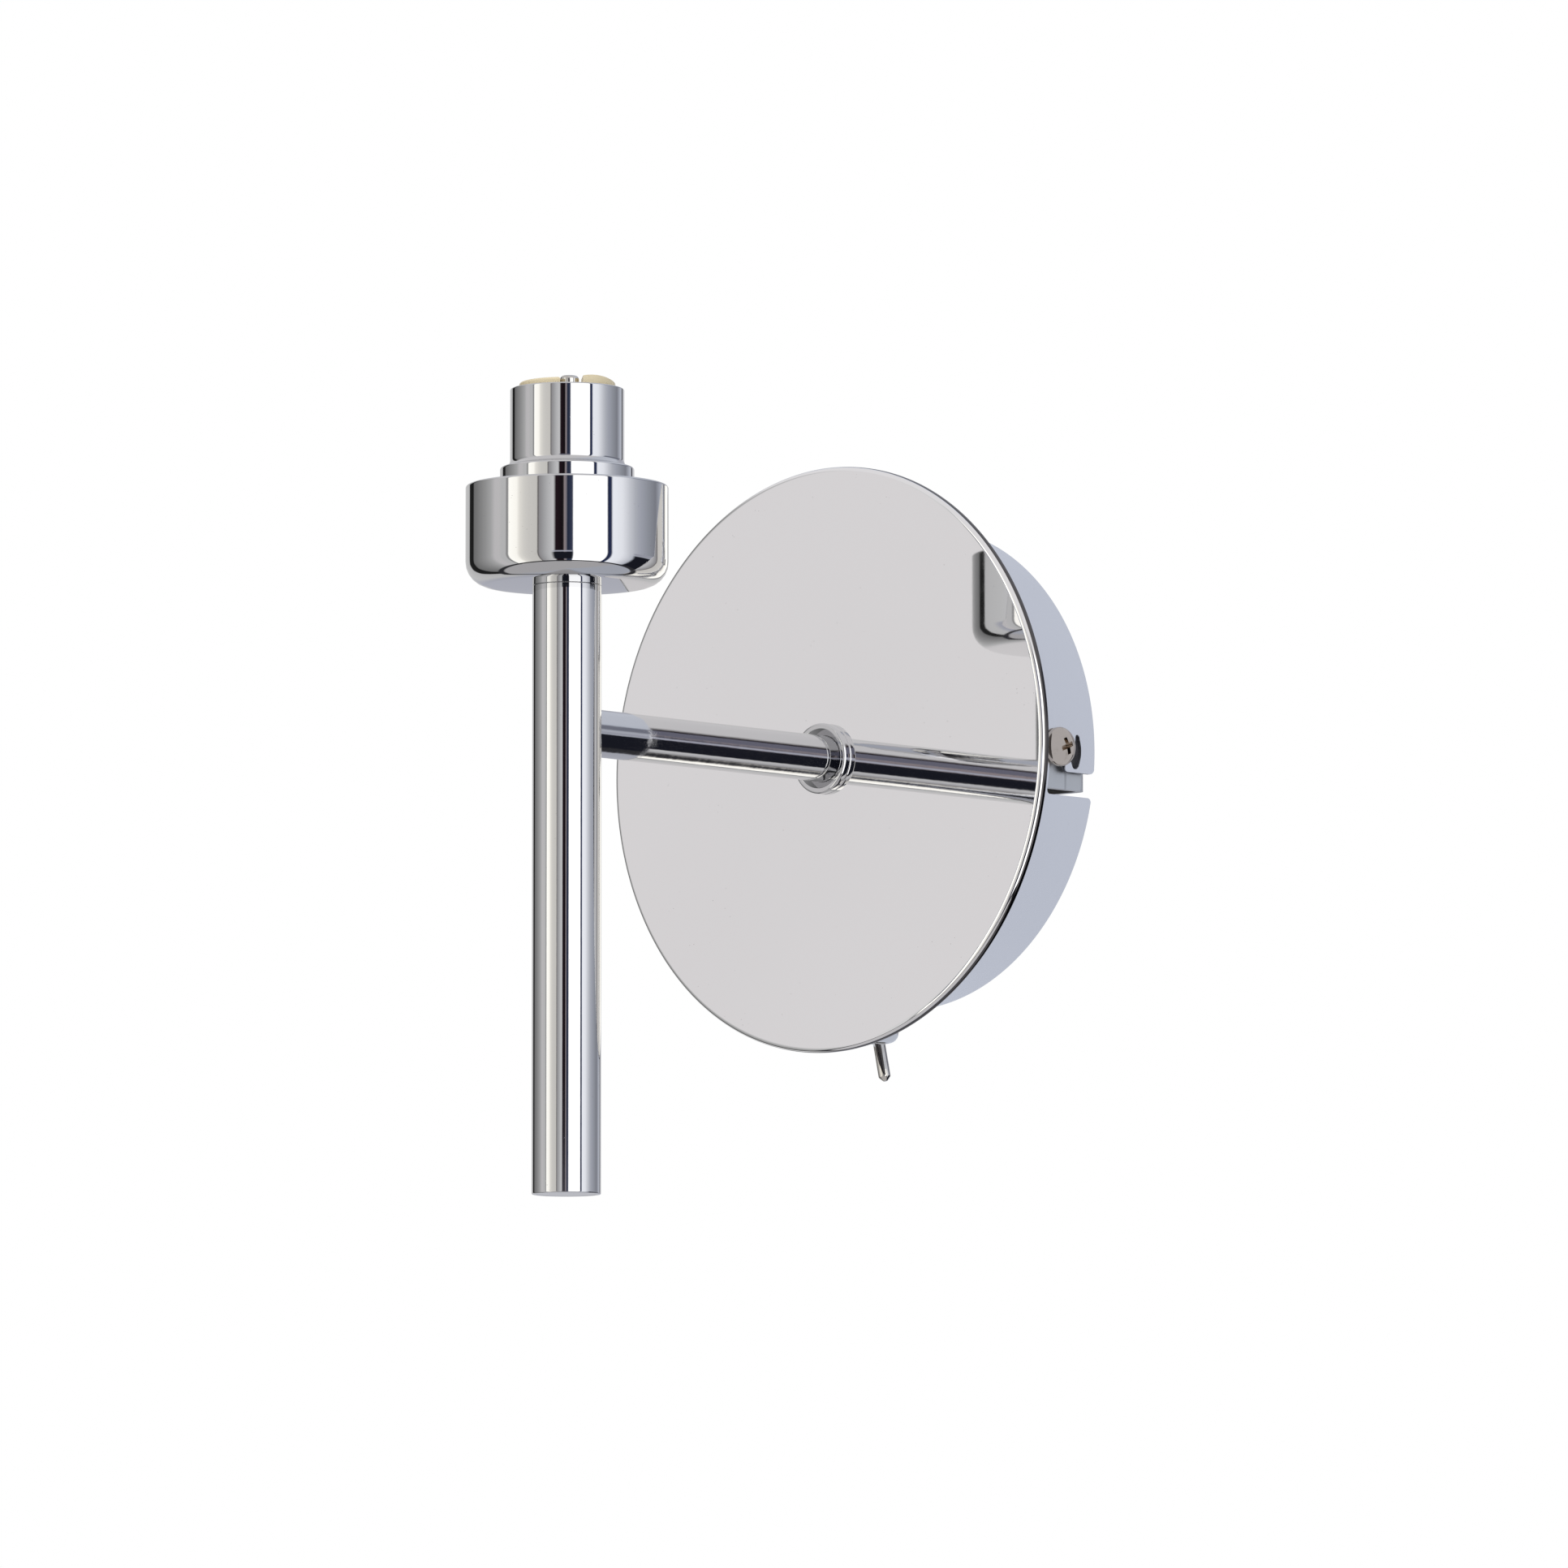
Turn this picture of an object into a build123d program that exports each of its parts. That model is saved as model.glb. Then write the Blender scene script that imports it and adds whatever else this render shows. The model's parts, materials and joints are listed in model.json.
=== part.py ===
from build123d import *
from math import cos, degrees, pi, radians, sin, tan
import os

# Wall sconce, millimetres. +Z is up, -Y points out of the wall and +X is to the right
# for someone facing the wall. The origin is the middle of the canopy, in the wall's plane.

# Front disc and canopy
disc_radius = 60.0
disc_thick = 2.0
disc_front_edge = 1.2
disc_back_edge = 0.4
canopy_radius = 49.8
canopy_depth = 25.0
canopy_wall = 0.8

# Wall bracket and the two screws that hold the canopy on it
bracket_reach = 48.0
bracket_half_width = 8.2
bracket_thick = 1.6
tab_depth = 17.0
screw_y = -11.2
screw_radius = 2.0
wall_slot_x = 30.0
wall_slot_radius = 2.3
wall_slot_length = 12.0
cable_hole_radius = 5.0
earth_screw_x = 15.0
earth_screw_radius = 1.98

# Bayonet slot in the canopy's side: an axial mouth and a leg round the wall
slot_width = 4.8
slot_top_z = 2.4
slot_bottom_z = -9.6

# Arm, swivel and post
arm_radius = 4.75
arm_back_y = -22.3
post_y = -102.0
post_radius = 6.9
post_bore = 5.9
post_low_z = -92.6
post_high_z = 28.9
collar_radius = 7.25
collar_thick = 1.8
spigot_radius = 6.0
spigot_end_y = -19.5
spindle_radius = 4.0
spindle_bore = 2.7
spindle_end_y = -12.0
swing_half = 90.0
running_gap = 0.05
d_flat = 3.2
stop_pin_x = 10.5
stop_pin_radius = 1.0
stop_outer = 12.0
stop_inner = 9.2
washer_y = {"friction": (-19.5, -18.7), "stop": (-18.7, -17.5), "spring": (-17.5, -16.3)}
locknut_y = (-16.3, -12.6)
tee_half = 11.0
tee_nipple_y = (-100.2, -84.0)
riser_y = -103.6
riser_radius = 3.0

# Head: cup, lamp holder housing and ceramic
cup_radius = 20.25
cup_height = 20.0
cup_wall = 1.2
skirt_radius = 13.4
skirt_top_z = 52.6
sleeve_radius = 11.4
sleeve_top_z = 68.4
holder_wall = 1.0
ceramic_radius = 9.6
ceramic_turn = 48.0
nipple_radius = 5.0
nipple_bore = 3.8
nipple_low_z = 18.0
foot_z = 50.0
channel_z = 68.5
ceramic_screw_at = 7.0
contact_at = 4.5

# Toggle switch under the canopy
toggle_y = -11.6
toggle_pivot_z = -54.0
toggle_tilt = 12.5
toggle_length = 11.5
dress_radius = 4.55
dress_low_z = -57.3
bushing_radius = 3.0
lever_radius = 1.25
lever_pin = (0.5, 2.8)
rocker_tilt = 10.0
rocker_z = -40.0
rocker_pin = (0.35, 3.4)
body_low_z = -45.6
body_high_z = -36.1
body_half_x = 6.5
body_half_y = 3.95
body_wall = 0.9
lug_z = -32.0
lug_pitch = 4.7

# Wiring
lead_radius = 0.8
lead_pair_x = 0.95
lead_split_y = -11.0
lead_back_y = -2.8
lead_rise_y = -104.0
swivel_bend = 8.0
riser_bend = 8.5
block_z = 31.0
block_half_x = 12.0
block_half_z = 8.5
block_thick = 12.0
pole_pitch = 8.0
pole_y = -18.2
earth_x = 22.0
earth_z = -12.0
earth_end_z = -3.0
earth_lead_y = -22.7

# Derived places
disc_back_y = -canopy_depth
disc_front_y = disc_back_y - disc_thick
front_wall_y = disc_back_y + canopy_wall
canopy_inner = canopy_radius - canopy_wall
slot_front_y = screw_y - slot_width / 2
slot_back_y = screw_y + slot_width / 2
slot_mouth_z = slot_bottom_z + slot_width
cup_floor_z = post_high_z + cup_wall
cup_rim_z = post_high_z + cup_height
head_nut_z = cup_floor_z + 3.5
base_top_z = head_nut_z + 1.2
bridge_top_z = base_top_z + 1.2
socket_nut_z = bridge_top_z + 3.0
nipple_high_z = socket_nut_z + 1.5
block_y = (front_wall_y, front_wall_y + block_thick)
poles_x = (-pole_pitch, 0.0, pole_pitch)
stud_x = -pole_pitch / 2
clamp_z = (block_z - 5.0, block_z + 5.0)
post_at = (0, post_y)
toggle_at = (0, toggle_y)
ceramic_place = Pos(0, post_y, 0) * Rot(0, 0, ceramic_turn)
toggle_pivot = Pos(0, toggle_y, toggle_pivot_z)

# A cylinder lies along x, y or z. Its other two coordinates are given in x, y, z order.
TURN = {"x": Rot(0, 90, 0), "y": Rot(90, 0, 0), "z": Rot(0, 0, 0)}


def placed(axis, along, across):
    u, v = across
    return Pos(*{"x": (along, u, v), "y": (u, along, v), "z": (u, v, along)}[axis])


def rod(radius, low, high, axis="z", at=(0, 0)):
    return placed(axis, (low + high) / 2, at) * TURN[axis] * Cylinder(radius, high - low)


def pipe(outer, inner, low, high, axis="z", at=(0, 0)):
    return rod(outer, low, high, axis, at) - rod(inner, low - 1, high + 1, axis, at)


def hexagon(flats, low, high, axis="z", at=(0, 0)):
    prism = extrude(RegularPolygon(flats / 2, 6, major_radius=False), amount=high - low)
    middle = placed(axis, (low + high) / 2, at) * TURN[axis]
    return middle * Pos(0, 0, (low - high) / 2) * prism


def nut(flats, bore, low, high, axis="z", at=(0, 0)):
    chamfered = hexagon(flats, low, high, axis, at)
    chamfered = chamfered & barrel_of(flats * 0.565, low, high, axis, at)
    return chamfered - rod(bore, low - 1, high + 1, axis, at)


def barrel_of(radius, low, high, axis, at):
    shape = rod(radius, low, high, axis, at)
    return chamfer(shape.edges().filter_by(GeomType.CIRCLE), 0.35)


def box(x, y, z):
    middle = Pos((x[0] + x[1]) / 2, (y[0] + y[1]) / 2, (z[0] + z[1]) / 2)
    return middle * Box(x[1] - x[0], y[1] - y[0], z[1] - z[0])


def circle_edges(shape, radius, axis, along):
    rings = shape.edges().filter_by(GeomType.CIRCLE)
    index = {"x": 0, "y": 1, "z": 2}[axis]
    near = []
    for ring in rings:
        centre = tuple(ring.arc_center)
        if abs(ring.radius - radius) < 0.01 and abs(centre[index] - along) < 0.01:
            near.append(ring)
    return near


def write(node, shape):
    shape.label = node
    export_step(shape, f"parts/{node}.step")


def group(solids):
    return Compound(children=solids)


def front_disc():
    plate = rod(disc_radius, disc_front_y, disc_back_y, "y")
    plate -= rod(spigot_radius + running_gap, disc_front_y - 1, disc_back_y + 1, "y")
    plate = fillet(circle_edges(plate, disc_radius, "y", disc_front_y), disc_front_edge)
    return fillet(circle_edges(plate, disc_radius, "y", disc_back_y), disc_back_edge)


def bayonet_slot():
    # The L is drawn in the plane of the canopy's right side and cut straight through it.
    flare = 1.2
    beyond = 3.0
    # Beside the leg is a hooked finger of sheet with a narrow cut behind it.
    points = [
        (slot_front_y, slot_top_z), (slot_back_y, slot_top_z), (slot_back_y, -0.4),
        (-6.3, -1.2), (-5.7, 2.9), (-4.7, 2.9), (-3.9, -0.6), (-4.9, -4.0), (-6.4, -4.2),
        (-7.3, -2.4), (slot_back_y, -2.6), (slot_back_y, slot_mouth_z), (0, slot_mouth_z), (0, slot_mouth_z + beyond), (beyond, slot_mouth_z + beyond),
        (beyond, slot_bottom_z - beyond), (0, slot_bottom_z - beyond), (0, slot_bottom_z),
        (slot_front_y, slot_bottom_z),
    ]
    end_radius = slot_width / 2 - 0.01
    radii = [end_radius, end_radius, 0.4, 0.5, 0.4, 0.4, 1.5, 0.6, 0.6, 0.5, 0.4, 0.9, flare,
             0, 0, 0, 0, flare, 1.0]
    outline = FilletPolyline(*points, radius=radii, close=True)
    return extrude(Plane.YZ * make_face(outline), amount=beyond * 4)


def canopy_cup():
    shell = rod(canopy_radius, disc_back_y, 0, "y")
    shell = fillet(circle_edges(shell, canopy_radius, "y", disc_back_y), 1.2)
    hollow = rod(canopy_inner, front_wall_y, 1, "y")
    hollow = fillet(circle_edges(hollow, canopy_inner, "y", front_wall_y), 0.5)
    shell -= hollow
    shell -= rod(spigot_radius + running_gap, disc_back_y - 1, front_wall_y + 1, "y")
    shell -= rod(3.05, -canopy_radius - 1, -canopy_inner + 3, "z", (0, toggle_y))
    slot = Pos(canopy_inner - 5, 0, 0) * bayonet_slot()
    return shell - slot - Rot(0, 180, 0) * slot


def wall_bracket():
    reach = bracket_reach
    inside = reach - bracket_thick
    points = [
        (-reach, -tab_depth), (-reach, 0), (reach, 0), (reach, -tab_depth),
        (inside, -tab_depth), (inside, -bracket_thick), (-inside, -bracket_thick),
        (-inside, -tab_depth),
    ]
    bend = 1.0
    radii = [0, bend + bracket_thick, bend + bracket_thick, 0, 0, bend, bend, 0]
    strip = extrude(make_face(FilletPolyline(*points, radius=radii, close=True)),
                    amount=bracket_half_width, both=True)
    corner = 2.0
    for side in (-1, 1):
        tab_x = sorted((side * (reach - 3), side * (reach + 3)))
        for end in (-1, 1):
            # Each tab's two outer corners are rounded.
            centre_y = -tab_depth + corner
            centre_z = end * (bracket_half_width - corner)
            square = box(tab_x, (-tab_depth - 1, centre_y), sorted((centre_z, end * 10.0)))
            strip -= square - rod(corner, tab_x[0], tab_x[1], "x", (centre_y, centre_z))
        strip -= rod(screw_radius, tab_x[0], tab_x[1], "x", (screw_y, 0))
        half = wall_slot_length / 2 - wall_slot_radius
        for end in (-half, half):
            strip -= rod(wall_slot_radius, -3, 1, "y", (side * wall_slot_x + end, 0))
        strip -= box((side * wall_slot_x - half, side * wall_slot_x + half), (-3, 1),
                     (-wall_slot_radius, wall_slot_radius))
    strip -= rod(cable_hole_radius, -3, 1, "y")
    return strip - rod(earth_screw_radius, -3, 1, "y", (earth_screw_x, 0))


def cross_recess(length, width, depth):
    # A cross-head recess that opens at z = 0 and goes down.
    cross = Box(length, width, depth) + Box(width, length, depth)
    cross += Cone(0.05, length * 0.34, depth * 1.3)
    return Pos(0, 0, -depth / 2) * cross


def pan_screw(head_radius, head_height, shank_radius, shank_length, recess):
    # The head stands on z = 0 and the shank goes down.
    head = rod(head_radius, 0, head_height)
    head = fillet(circle_edges(head, head_radius, "z", head_height), head_height * 0.48)
    head -= Pos(0, 0, head_height) * cross_recess(*recess)
    shank = rod(shank_radius, -shank_length, 0)
    shank = chamfer(circle_edges(shank, shank_radius, "z", -shank_length), 0.4)
    return head + shank


def canopy_screws():
    seat_gap = 0.2
    screw = pan_screw(4.0, 2.6, screw_radius - 0.02, 9.0, (4.3, 0.95, 1.5))
    right = Pos(canopy_radius + seat_gap, screw_y, 0) * Rot(0, 90, 0) * Rot(0, 0, 22) * screw
    return group([right, Rot(0, 180, 0) * right])


def bracket_earth_screw():
    screw = pan_screw(3.4, 2.0, earth_screw_radius - 0.02, 2.0, (3.4, 0.8, 1.2))
    return Pos(earth_screw_x, -bracket_thick, 0) * Rot(90, 0, 0) * screw


def arm_collar():
    collar = rod(collar_radius, disc_front_y - collar_thick, disc_front_y, "y")
    collar = fillet(circle_edges(collar, collar_radius, "y", disc_front_y - collar_thick), 0.5)
    collar += rod(spigot_radius, disc_front_y, spigot_end_y, "y")
    bore = arm_radius + running_gap
    collar -= rod(bore, disc_front_y - collar_thick - 1, arm_back_y, "y")
    collar -= rod(spindle_radius + running_gap, arm_back_y - 1, spigot_end_y + 1, "y")
    mouth = circle_edges(collar, bore, "y", disc_front_y - collar_thick)
    return chamfer(mouth, 1.3)


def stop_pin():
    return rod(stop_pin_radius, front_wall_y, washer_y["spring"][0] + 0.9, "y", (0, -stop_pin_x))


def d_profile(radius, low, high):
    # A round shaft along y with a flat on its upper side.
    shaft = rod(radius, low, high, "y")
    return shaft - box((-9, 9), (low - 1, high + 1), (d_flat * radius / spindle_radius, 9))


def stop_washer():
    # A notch wide enough for the swing runs past the fixed pin. Its two ends are the stops.
    low, high = washer_y["stop"]
    washer = rod(stop_outer, low, high, "y") - d_profile(spindle_radius + 0.03, low - 1, high + 1)
    pin_half = degrees(stop_pin_radius / stop_pin_x)
    half = swing_half + pin_half + 2.0
    wedge = Polyline((0, 0), *[(30 * sin(radians(a)), -30 * cos(radians(a)))
                               for a in (-half, -half / 2, 0, half / 2, half)], close=True)
    notch = extrude(Plane.XZ * make_face(wedge), amount=20, both=True)
    notch -= rod(stop_inner, -40, 40, "y")
    return washer - (notch & box((-15, 15), (low - 1, high + 1), (-15, 15)))


def arm_spindle():
    tube = d_profile(spindle_radius, spigot_end_y, spindle_end_y)
    tube += rod(spindle_radius, -34, spigot_end_y, "y")
    return tube - rod(spindle_bore, -35, spindle_end_y + 1, "y")


def spindle_bush():
    bush = rod(spindle_bore - 0.02, spindle_end_y - 4, spindle_end_y, "y")
    bush += rod(spindle_radius, spindle_end_y, lead_split_y, "y")
    return bush - rod(2.1, -20, -9, "y")


def spring_washer():
    low, high = washer_y["spring"]
    ring = pipe(6.6, spindle_radius + 0.05, low, high, "y")
    gap = Rot(0, 30, 0) * box((-0.5, 0.5), (low - 1, high + 1), (3, 8))
    return ring - gap


def arm_tube():
    tube = pipe(arm_radius, spindle_radius, post_y, arm_back_y, "y")
    return tube - rod(post_radius, -10, 10, "z", (0, post_y))


def post_tube():
    tube = pipe(post_radius, post_bore, post_low_z, post_high_z, "z", (0, post_y))
    tube = chamfer(circle_edges(tube, post_radius, "z", post_low_z), 0.25)
    return tube - rod(spindle_radius + 0.02, post_y + 4, post_y + 9, "y")


def post_plug():
    plug = rod(post_bore - 0.02, post_low_z, post_low_z + 5, "z", (0, post_y))
    return plug - rod(4.4, post_low_z + 1.5, post_low_z + 6, "z", (0, post_y))


def tee_block():
    block = rod(post_bore - 0.02, -tee_half, tee_half, "z", (0, post_y))
    block -= rod(spindle_radius + 0.02, riser_y + 1.4, post_y + 12, "y")
    return block - rod(riser_radius, -riser_radius - 0.4, tee_half + 1, "z", (0, riser_y))


def tee_nipple():
    return pipe(spindle_radius, spindle_bore, *tee_nipple_y, "y")


def post_insert():
    low = post_high_z - 14
    insert = rod(post_bore - 0.02, low, post_high_z, "z", (0, post_y))
    insert -= rod(nipple_bore, low - 1, post_high_z + 1, "z", (0, post_y))
    return insert - rod(nipple_radius + 0.02, nipple_low_z, post_high_z + 1, "z", (0, post_y))


def head_nipple():
    return pipe(nipple_radius, nipple_bore, nipple_low_z, nipple_high_z, "z", post_at)


def head_cup():
    cup = rod(cup_radius, post_high_z, cup_rim_z, "z", post_at)
    cup = fillet(circle_edges(cup, cup_radius, "z", post_high_z), 4.75)
    hollow = rod(cup_radius - cup_wall, cup_floor_z, cup_rim_z + 1, "z", post_at)
    hollow = fillet(circle_edges(hollow, cup_radius - cup_wall, "z", cup_floor_z), 3.55)
    cup -= hollow
    cup -= rod(nipple_radius + 0.1, post_high_z - 1, cup_rim_z, "z", post_at)
    return fillet(circle_edges(cup, cup_radius, "z", cup_rim_z), 0.5)


def socket_housing():
    # A skirt with a step up to a narrower sleeve, open at both ends.
    can = rod(skirt_radius, head_nut_z, skirt_top_z, "z", post_at)
    can += rod(sleeve_radius, skirt_top_z, sleeve_top_z, "z", post_at)
    can -= rod(skirt_radius - holder_wall, head_nut_z - 1, skirt_top_z - 1.2, "z", post_at)
    can -= rod(sleeve_radius - holder_wall, skirt_top_z - 2, sleeve_top_z + 1, "z", post_at)
    can = fillet(circle_edges(can, sleeve_radius, "z", skirt_top_z), 1.4)
    can = fillet(circle_edges(can, skirt_radius, "z", skirt_top_z), 0.5)
    return fillet(circle_edges(can, sleeve_radius, "z", sleeve_top_z), 0.3)


def socket_base():
    return pipe(skirt_radius - holder_wall - 0.02, nipple_radius + 0.1,
                head_nut_z, base_top_z, "z", post_at)


def socket_bridge():
    # A strap: its round base is clamped on the nipple and its two feet carry the ceramic.
    half_width = 3.0
    half_thick = 0.6
    leg = 10.2 - half_thick
    foot_end = 6.0
    low = base_top_z + half_thick
    high = foot_z - half_thick
    centre = FilletPolyline((-foot_end, high), (-leg, high), (-leg, low), (leg, low), (leg, high),
                            (foot_end, high), radius=1.4)
    section = make_face(offset(centre, half_thick, side=Side.BOTH).edges())
    strap = extrude(Plane.YZ * section, amount=half_width, both=True)
    strap += rod(8.0, base_top_z, bridge_top_z)
    strap -= rod(nipple_radius + 0.05, base_top_z - 1, bridge_top_z + 1)
    for end in (-1, 1):
        strap -= rod(1.0, foot_z - 3, foot_z + 1, "z", (0, end * ceramic_screw_at))
    return ceramic_place * strap


def ceramic_insert():
    # Local x runs across the channel and local -y along it, towards the front.
    body = rod(ceramic_radius, foot_z, channel_z)
    body = chamfer(circle_edges(body, ceramic_radius, "z", foot_z), 0.5)
    round_body = rod(ceramic_radius, channel_z, 72)
    left = round_body & box((-12, -2.0), (-12, 12), (channel_z, 69.7))
    right = round_body & box((2.6, 12), (-12, 12), (channel_z, 72))
    right &= rod(12.0, -12, 12, "y", (5.2, 70.3 - 12.0))
    left = fillet(left.edges().group_by(Axis.Z)[-1], 0.5)
    body += [left, right]
    # The lamp's foot drops into a pocket with two contact slots in its floor.
    body -= box((-7.4, 7.4), (-2.7, 2.7), (63.5, 73))
    for end in (-1, 1):
        body -= rod(1.1, foot_z - 1, 73, "z", (0, end * ceramic_screw_at))
        body -= rod(2.5, foot_z - 1, 62.0, "z", (end * contact_at, 0))
        body -= box((end * contact_at - 1.1, end * contact_at + 1.1), (-0.7, 0.7), (61, 64))
    return ceramic_place * body


def ceramic_screws():
    screw = pan_screw(1.9, 1.7, 1.0, 21.0, (2.0, 0.5, 0.7))
    return group([ceramic_place * Pos(0, end * ceramic_screw_at, channel_z) * Rot(0, 0, 30) * screw
                  for end in (-1, 1)])


def socket_contacts():
    clips = []
    for end in (-1, 1):
        clip = box((-1.0, 1.0), (-1.5, 1.5), (54.5, 61.5))
        clip -= box((-2, 2), (-0.45, 0.45), (56, 63))
        clip += rod(1.3, 52.0, 54.5)
        clips.append(ceramic_place * Pos(end * contact_at, 0, 0) * clip)
    return group(clips)


def toggle_body():
    x = (-body_half_x, body_half_x)
    y = (toggle_y - body_half_y, toggle_y + body_half_y)
    case = fillet(box(x, y, (body_low_z, body_high_z)).edges().filter_by(Axis.Z), 0.6)
    case -= box((x[0] + body_wall, x[1] - body_wall), (y[0] + body_wall, y[1] - body_wall),
                (body_low_z - 1, body_high_z - body_wall))
    # The rocker's pin turns in two blind holes.
    radius, half = rocker_pin
    case -= rod(radius + 0.02, toggle_y - half - 0.1, toggle_y + half + 0.1, "y", (0, rocker_z))
    for lug_x in (0, -lug_pitch):
        case -= box((lug_x - 0.41, lug_x + 0.41), (toggle_y - 1.01, toggle_y + 1.01), (-38, -35))
    return case


def toggle_frame():
    # A steel plate under the case, with two arms folded up its long sides.
    wide = body_half_y + 0.5
    plate = box((-body_half_x, body_half_x), (toggle_y - wide, toggle_y + wide),
                (body_low_z - 0.5, body_low_z))
    for side in (-1, 1):
        y = sorted((toggle_y + side * body_half_y, toggle_y + side * wide))
        plate += box((-4.5, 4.5), y, (body_low_z, body_high_z - 0.5))
    return plate - rod(3.0, body_low_z - 2, body_low_z + 1, "z", toggle_at)


def toggle_bushing():
    bore, throat_z = 2.2, -52.0
    tube = rod(bushing_radius, -56.2, body_low_z, "z", toggle_at)
    tube -= rod(bore, -57, throat_z, "z", toggle_at)
    middle_z = (throat_z + body_low_z) / 2
    tube -= Pos(0, toggle_y, middle_z) * Cone(bore, 2.66, body_low_z - throat_z)
    # The lever's pin turns in a hole through both sides.
    return tube - rod(lever_pin[0] + 0.02, toggle_y - 4, toggle_y + 4, "y", (0, toggle_pivot_z))


def toggle_dress_nut():
    # A round nut with a domed lower end and a hole for the lever.
    nut_body = rod(dress_radius, dress_low_z, -canopy_radius, "z", toggle_at)
    nut_body = fillet(circle_edges(nut_body, dress_radius, "z", dress_low_z), 1.9)
    nut_body -= rod(3.02, -56.3, -canopy_inner, "z", toggle_at)
    nut_body -= rod(2.35, dress_low_z - 1, -55, "z", toggle_at)
    # Its upper face is hollowed to sit on the round canopy.
    return nut_body - rod(canopy_radius, -20, 0, "y")


def toggle_lever():
    tip_radius, tip_height = 0.35, 1.1
    bat = rod(lever_radius, -toggle_length + tip_height, 0)
    cone = Cone(tip_radius, lever_radius, tip_height)
    bat += Pos(0, 0, -toggle_length + tip_height / 2) * cone
    bat = fillet(circle_edges(bat, tip_radius, "z", -toggle_length), 0.2)
    bat += Sphere(1.95)
    bat += rod(0.75, 0, 12.0)
    bat += rod(lever_pin[0], -lever_pin[1], lever_pin[1], "y")
    return toggle_pivot * Rot(0, -toggle_tilt, 0) * bat


def toggle_plunger():
    cap = rod(1.2, 9.6, 12.2) + Pos(0, 0, 12.2) * Sphere(1.2)
    cap -= rod(0.76, 9, 12.0)
    return toggle_pivot * Rot(0, -toggle_tilt, 0) * cap


def toggle_rocker():
    plate = box((-5.0, 5.0), (-1.5, 1.5), (-0.2, 0.2))
    plate += rod(rocker_pin[0], -rocker_pin[1], rocker_pin[1], "y")
    return Pos(0, toggle_y, rocker_z) * Rot(0, rocker_tilt, 0) * plate


def toggle_terminals():
    y = (toggle_y - 1.0, toggle_y + 1.0)
    common = box((-0.4, 0.4), y, (rocker_z + 0.4, lug_z))
    live = box((-lug_pitch - 0.4, -lug_pitch + 0.4), y, (-38.0, lug_z))
    live += rod(0.9, -38.75, -38.0, "z", (-lug_pitch, toggle_y))
    return group([common, live])


def lug_sleeves():
    return group([pipe(1.45, 1.12, -35.5, -28.5, "z", (x, toggle_y)) for x in (0, -lug_pitch)])


def terminal_block():
    block = box((-block_half_x, block_half_x), block_y, (block_z - block_half_z, block_z + block_half_z))
    for x in poles_x:
        block -= rod(2.22, block_z - 9, block_z + 9, "z", (x, pole_y))
        for z in clamp_z:
            block -= rod(1.8, pole_y, -10, "y", (x, z))
    for x in (-stud_x, stud_x):
        block -= rod(1.6, block_y[0] - 1, block_y[1] + 1, "y", (x, block_z))
        # A notch at each end of the wall between two poles.
        for end in (-1, 1):
            z = sorted((block_z + end * 5.5, block_z + end * 9.0))
            block -= box((x - 0.7, x + 0.7), (block_y[0] + 3, -10), z)
    return block


def terminal_sleeves():
    sleeves = []
    for x in poles_x:
        sleeve = pipe(2.2, 1.5, block_z - 7.5, block_z + 7.5, "z", (x, pole_y))
        for z in clamp_z:
            sleeve -= rod(1.3, pole_y, -14, "y", (x, z))
        sleeves.append(sleeve)
    return group(sleeves)


def terminal_screws():
    screws = []
    for x in poles_x:
        for z in clamp_z:
            screw = rod(1.28, pole_y + 1.0, -13.0, "y", (x, z))
            screws.append(screw - box((x - 1.5, x + 1.5), (-13.6, -12.5), (z - 0.25, z + 0.25)))
    return group(screws)


def earth_tag():
    low = front_wall_y
    ring = pipe(3.5, 2.05, low, low + 0.8, "y", (earth_x, earth_z))
    tail = box((earth_x - 1.2, earth_x + 1.2), (low, low + 0.8), (earth_z + 2.9, earth_z + 6))
    barrel = rod(1.4, earth_z + 4.5, earth_end_z, "z", (earth_x, earth_lead_y))
    return ring + tail + barrel


def lead(points, radii):
    # An insulated wire: straight runs joined by tangent arcs.
    path = FilletPolyline(*points, radius=radii)
    ring = Plane(origin=path @ 0, z_dir=path % 0) * Circle(lead_radius)
    wire = sweep(ring, path=path)
    length = sum(edge.length for edge in path.edges())
    section = pi * lead_radius ** 2
    print(f"lead {length:.1f} mm, radii {[round(r, 1) for r in radii]}, "
          f"volume {wire.volume:.2f} against {section * length:.2f}")
    return wire


def bend_radii(points, share=0.45):
    # Each bend is as large as the shorter of its two runs allows.
    spots = [Vector(*p) for p in points]
    radii = []
    for before, here, after in zip(spots, spots[1:], spots[2:]):
        shorter = min((here - before).length, (after - here).length)
        turn = (here - before).get_angle(after - here)
        radii.append(share * shorter / tan(radians(turn / 2)))
    return radii


def feed_lead():
    points = [(0, toggle_y, lug_z), (0, toggle_y, -23), (-16, toggle_y, -12),
              (-16, pole_y, 8), (-pole_pitch, pole_y, 17), (-pole_pitch, pole_y, 26)]
    return lead(points, bend_radii(points))


def switched_lead():
    points = [(-lug_pitch, toggle_y, lug_z), (-lug_pitch, toggle_y, -25),
              (-lead_pair_x, lead_back_y, -15), (-lead_pair_x, lead_back_y, 0),
              (-lead_pair_x, lead_split_y, 0)]
    return lead(points, bend_radii(points)[:2] + [swivel_bend])


def neutral_lead():
    points = [(pole_pitch, pole_y, 27), (pole_pitch, pole_y, 16.5),
              (lead_pair_x, lead_back_y, 15.5), (lead_pair_x, lead_back_y, 0),
              (lead_pair_x, lead_split_y, 0)]
    return lead(points, [5.0, 6.0, swivel_bend])


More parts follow.
